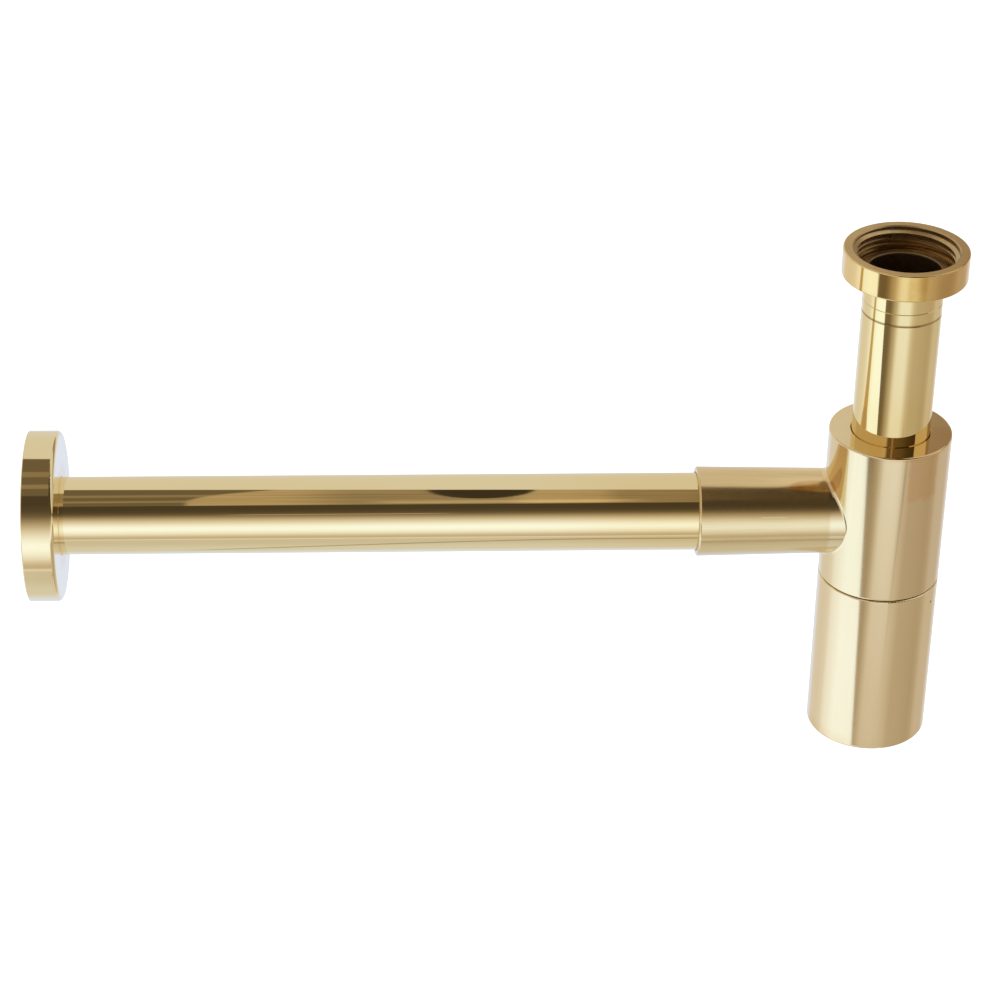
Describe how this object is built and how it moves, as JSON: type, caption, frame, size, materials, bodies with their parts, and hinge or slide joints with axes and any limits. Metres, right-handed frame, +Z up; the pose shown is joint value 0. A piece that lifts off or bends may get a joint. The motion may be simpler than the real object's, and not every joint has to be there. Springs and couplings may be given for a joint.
{
  "type": "basin trap",
  "caption": "Brass bottle trap for a basin: threaded union inlet, sliding dip tube, screw-off cup, side branch and a straight wall tube with a round wall flange.",
  "frame": {"origin": "on the inlet's axis, at the ferrule's sealing face, where the basin waste seats in the union nut", "axes": "+Z up along the inlet tube, out of the nut's mouth; the wall tube runs towards -X; the part is symmetric about the XZ plane"},
  "size_m": [0.3761, 0.07, 0.2237],
  "materials": {
    "body_brass": "cast and polished, faintly brushed, lightly tarnished",
    "cup_brass": "turned and polished, faintly brushed",
    "tube_brass": "drawn and mirror polished, unlacquered",
    "ferrule_brass": "turned and mirror polished",
    "nut_brass": "turned and polished outside, dull in the thread",
    "flange_brass": "mirror polished",
    "rubber": "black moulded rubber"
  },
  "bodies": {
    "trap_body": {"trap_body": "body_brass"},
    "cup_washer": {"cup_washer": "rubber"},
    "cup": {"trap_cup": "cup_brass"},
    "inlet_rings": {"inlet_seal_upper": "rubber", "inlet_seal_lower": "rubber"},
    "inlet": {"inlet_tube": "tube_brass", "inlet_ferrule": "ferrule_brass"},
    "nut": {"inlet_nut": "nut_brass"},
    "outlet_rings": {"outlet_seal_outer": "rubber", "outlet_seal_inner": "rubber"},
    "wall_tube": {"wall_tube": "tube_brass"},
    "flange_ring": {"flange_seal": "rubber"},
    "flange": {"wall_flange": "flange_brass"}
  },
  "joints": [
    {"name": "cup_drop", "type": "slide", "parent": "trap_body", "child": "cup_washer", "axis": [0, 0, -1], "range_m": [0, 0.008]},
    {"name": "cup_turn", "type": "hinge", "parent": "cup_washer", "child": "cup", "pos_m": [0, 0, -0.1522], "axis": [0, 0, -1], "range_deg": [0, 1440]},
    {"name": "inlet_turn", "type": "hinge", "parent": "trap_body", "child": "inlet_rings", "pos_m": [0, 0, -0.0765], "axis": [0, 0, 1], "continuous": true},
    {"name": "inlet_height", "type": "slide", "parent": "inlet_rings", "child": "inlet", "axis": [0, 0, 1], "range_m": [-0.008, 0.025]},
    {"name": "nut_turn", "type": "hinge", "parent": "inlet", "child": "nut", "pos_m": [0, 0, 0], "axis": [0, 0, 1], "continuous": true},
    {"name": "wall_tube_turn", "type": "hinge", "parent": "trap_body", "child": "outlet_rings", "pos_m": [-0.073, 0, -0.111], "axis": [-1, 0, 0], "continuous": true},
    {"name": "wall_tube_slide", "type": "slide", "parent": "outlet_rings", "child": "wall_tube", "axis": [-1, 0, 0], "range_m": [-0.003, 0.018]},
    {"name": "flange_slide", "type": "slide", "parent": "wall_tube", "child": "flange_ring", "axis": [1, 0, 0], "range_m": [0, 0.25]},
    {"name": "flange_turn", "type": "hinge", "parent": "flange_ring", "child": "flange", "pos_m": [-0.343, 0, -0.111], "axis": [1, 0, 0], "continuous": true}
  ],
  "couplings": [
    {"joint": "cup_drop", "follows": "cup_turn", "m_per_rad": 0.00031831}
  ]
}
